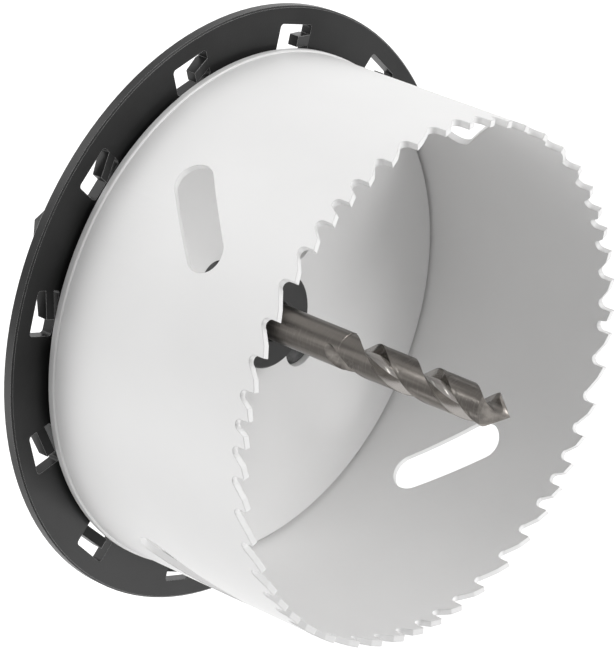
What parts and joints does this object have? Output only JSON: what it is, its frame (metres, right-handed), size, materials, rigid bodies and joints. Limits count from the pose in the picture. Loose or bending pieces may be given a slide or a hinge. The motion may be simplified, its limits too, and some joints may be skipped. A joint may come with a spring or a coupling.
{
  "type": "hole saw",
  "caption": "Hole saw: toothed cup with slanted side slots, countersinking disc behind it, twist pilot drill and arbor with a hexagonal shank.",
  "frame": {"origin": "centre of the shank's end face, on the saw's axis", "axes": "+Z along the axis, from the shank towards the teeth and the drill's point; +X through the middle of one slot in the cup"},
  "size_m": [0.0976, 0.0976, 0.0985],
  "materials": {
    "cup_paint": "off-white paint, satin",
    "disc_black": "black, satin",
    "arbor_black": "black oxide, satin",
    "arbor_steel": "darkened steel, turned",
    "pin_steel": "darkened steel, turned",
    "drill_steel": "warm dark grey, ground",
    "screw_black": "black oxide"
  },
  "bodies": {
    "root": {"saw_tube": "cup_paint", "base_plate": "cup_paint", "countersink_disc": "disc_black", "arbor_body": "arbor_black", "drive_collar": "arbor_steel", "drive_pin_1": "pin_steel", "drive_pin_2": "pin_steel", "lock_nut": "arbor_steel", "pilot_drill": "drill_steel", "grub_screw": "screw_black"}
  },
  "joints": []
}
